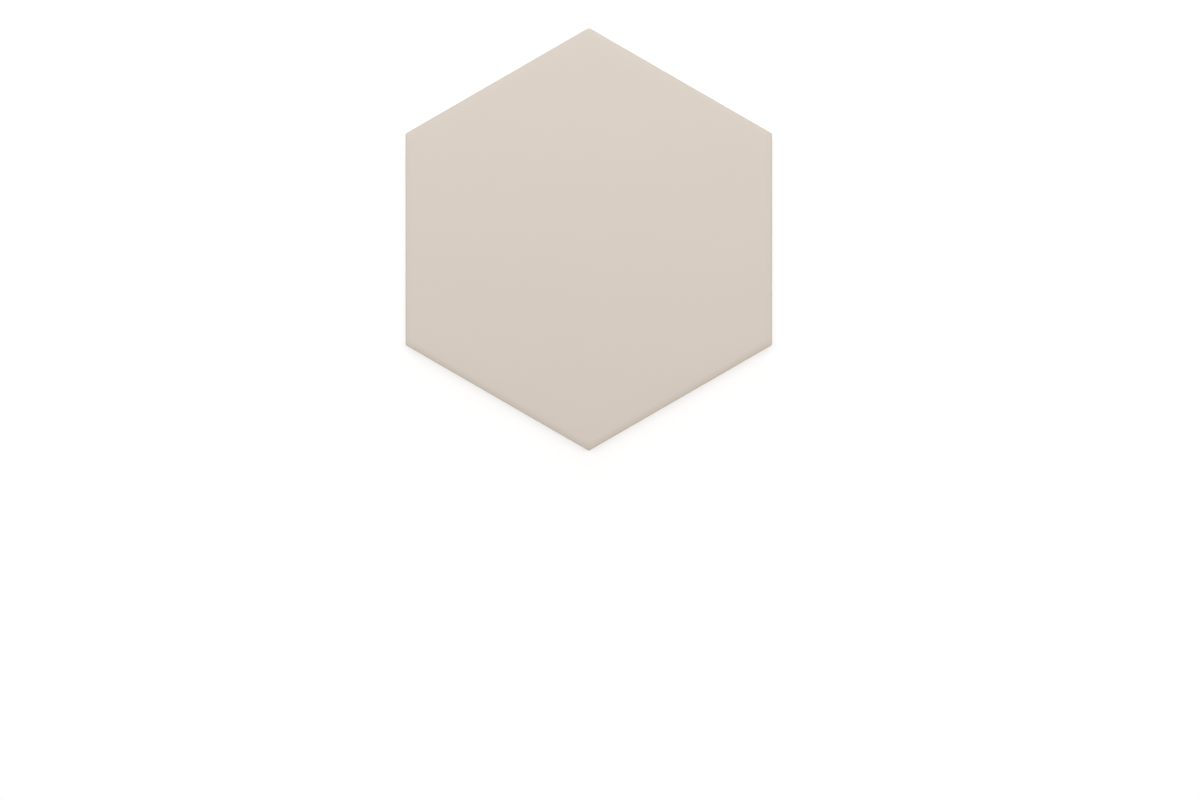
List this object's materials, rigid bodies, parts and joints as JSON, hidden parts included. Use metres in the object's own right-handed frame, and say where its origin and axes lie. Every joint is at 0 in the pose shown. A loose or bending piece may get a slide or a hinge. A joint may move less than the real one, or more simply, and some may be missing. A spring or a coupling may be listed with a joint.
{
  "type": "hexagon floor tile",
  "caption": "Plain hexagonal ceramic floor tile with a satin glazed face, softly cushioned edges, square sides and a honeycomb-keyed back.",
  "frame": {"origin": "middle of the back, on the plane of the ribs that the tile lies on", "axes": "+Z out of the walking face, +Y towards a corner, +X out of a side"},
  "size_m": [0.175, 0.2018, 0.009],
  "materials": {
    "glazed_body": "satin"
  },
  "bodies": {
    "root": {"hexagon_tile": "glazed_body"}
  },
  "joints": []
}
